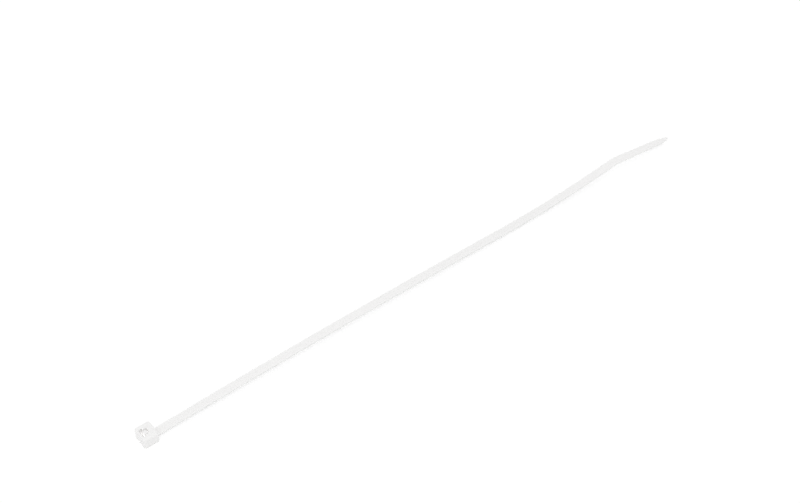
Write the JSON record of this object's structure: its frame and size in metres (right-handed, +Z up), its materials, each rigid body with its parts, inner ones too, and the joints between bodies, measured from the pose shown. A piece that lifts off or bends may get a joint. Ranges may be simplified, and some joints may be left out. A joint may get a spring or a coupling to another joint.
{
  "type": "cable tie",
  "caption": "Slim self-locking cable tie in one moulding: flat strap with ratchet teeth underneath, box-shaped head with strap slot and pawl, thin bent pointed tail.",
  "frame": {"origin": "middle of the bounding box's base, on the surface the tie lies on", "axes": "+X from the head along the strap to the tip of the tail, +Z up through the head's slot in the direction in which a strap is pulled through"},
  "size_m": [0.2796, 0.0076, 0.0059],
  "materials": {
    "natural_nylon": "satin, slightly translucent natural nylon"
  },
  "bodies": {
    "root": {"cable_tie": "natural_nylon"}
  },
  "joints": []
}
